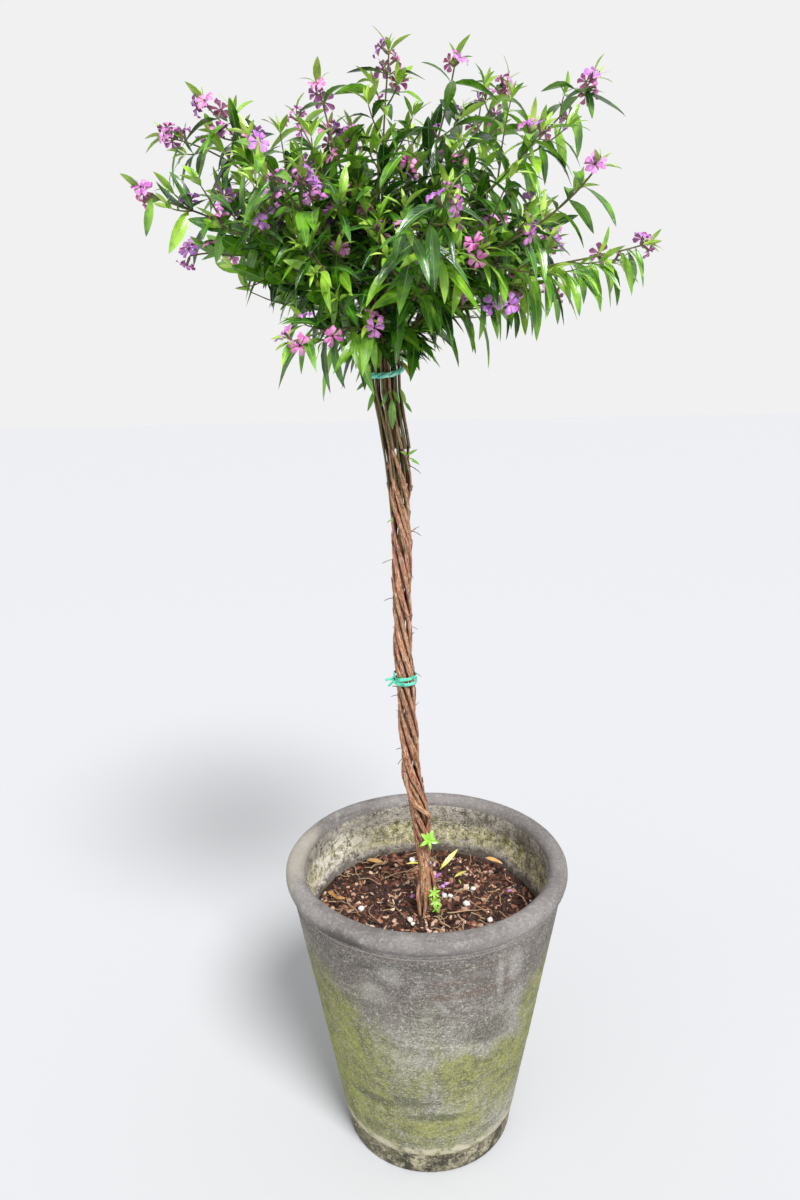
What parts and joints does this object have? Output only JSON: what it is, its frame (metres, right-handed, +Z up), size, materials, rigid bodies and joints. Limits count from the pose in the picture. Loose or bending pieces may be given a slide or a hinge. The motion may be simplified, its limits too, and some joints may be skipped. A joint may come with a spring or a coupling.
{
  "type": "potted mexican heather standard",
  "caption": "Mexican heather grown as a standard: twisted thin stems in a tapered clay pot carry an open round head of narrow leaves and small mauve flowers.",
  "frame": {"origin": "centre of the pot's flat underside, on the floor", "axes": "+Z up along the pot's axis; the picture looks along +Y with +X to its right"},
  "size_m": [0.3344, 0.28, 0.7786],
  "materials": {
    "terracotta": "weathered matte clay with moss",
    "potting_mix": "loose damp bark mix",
    "bark": "peeling bark",
    "young_bark": "smooth young bark",
    "soft_tie": "soft matte band",
    "foliage": "slightly glossy leaves"
  },
  "bodies": {
    "root": {"pot": "terracotta", "soil": "potting_mix", "stem_1": "bark", "stem_2": "bark", "stem_3": "bark", "stem_4": "bark", "stem_5": "bark", "stem_6": "bark", "stem_7": "bark", "stem_tie": "soft_tie", "neck_tie": "soft_tie", "bough_low_1": "young_bark", "bough_low_2": "young_bark", "bough_low_3": "young_bark", "bough_low_4": "young_bark", "bough_low_5": "young_bark", "bough_low_6": "young_bark", "bough_outer_1": "young_bark", "bough_outer_2": "young_bark", "bough_outer_3": "young_bark", "bough_outer_4": "young_bark", "bough_outer_5": "young_bark", "bough_outer_6": "young_bark", "bough_mid_1": "young_bark", "bough_mid_2": "young_bark", "bough_mid_3": "young_bark", "bough_mid_4": "young_bark", "bough_mid_5": "young_bark", "bough_mid_6": "young_bark", "bough_top_1": "young_bark", "bough_top_2": "young_bark", "bough_top_3": "young_bark", "foliage_low_1": "foliage", "foliage_low_2": "foliage", "foliage_low_3": "foliage", "foliage_low_4": "foliage", "foliage_low_5": "foliage", "foliage_low_6": "foliage", "foliage_outer_1": "foliage", "foliage_outer_2": "foliage", "foliage_outer_3": "foliage", "foliage_outer_4": "foliage", "foliage_outer_5": "foliage", "foliage_outer_6": "foliage", "foliage_mid_1": "foliage", "foliage_mid_2": "foliage", "foliage_mid_3": "foliage", "foliage_mid_4": "foliage", "foliage_mid_5": "foliage", "foliage_mid_6": "foliage", "foliage_top_1": "foliage", "foliage_top_2": "foliage", "foliage_top_3": "foliage"}
  },
  "joints": []
}
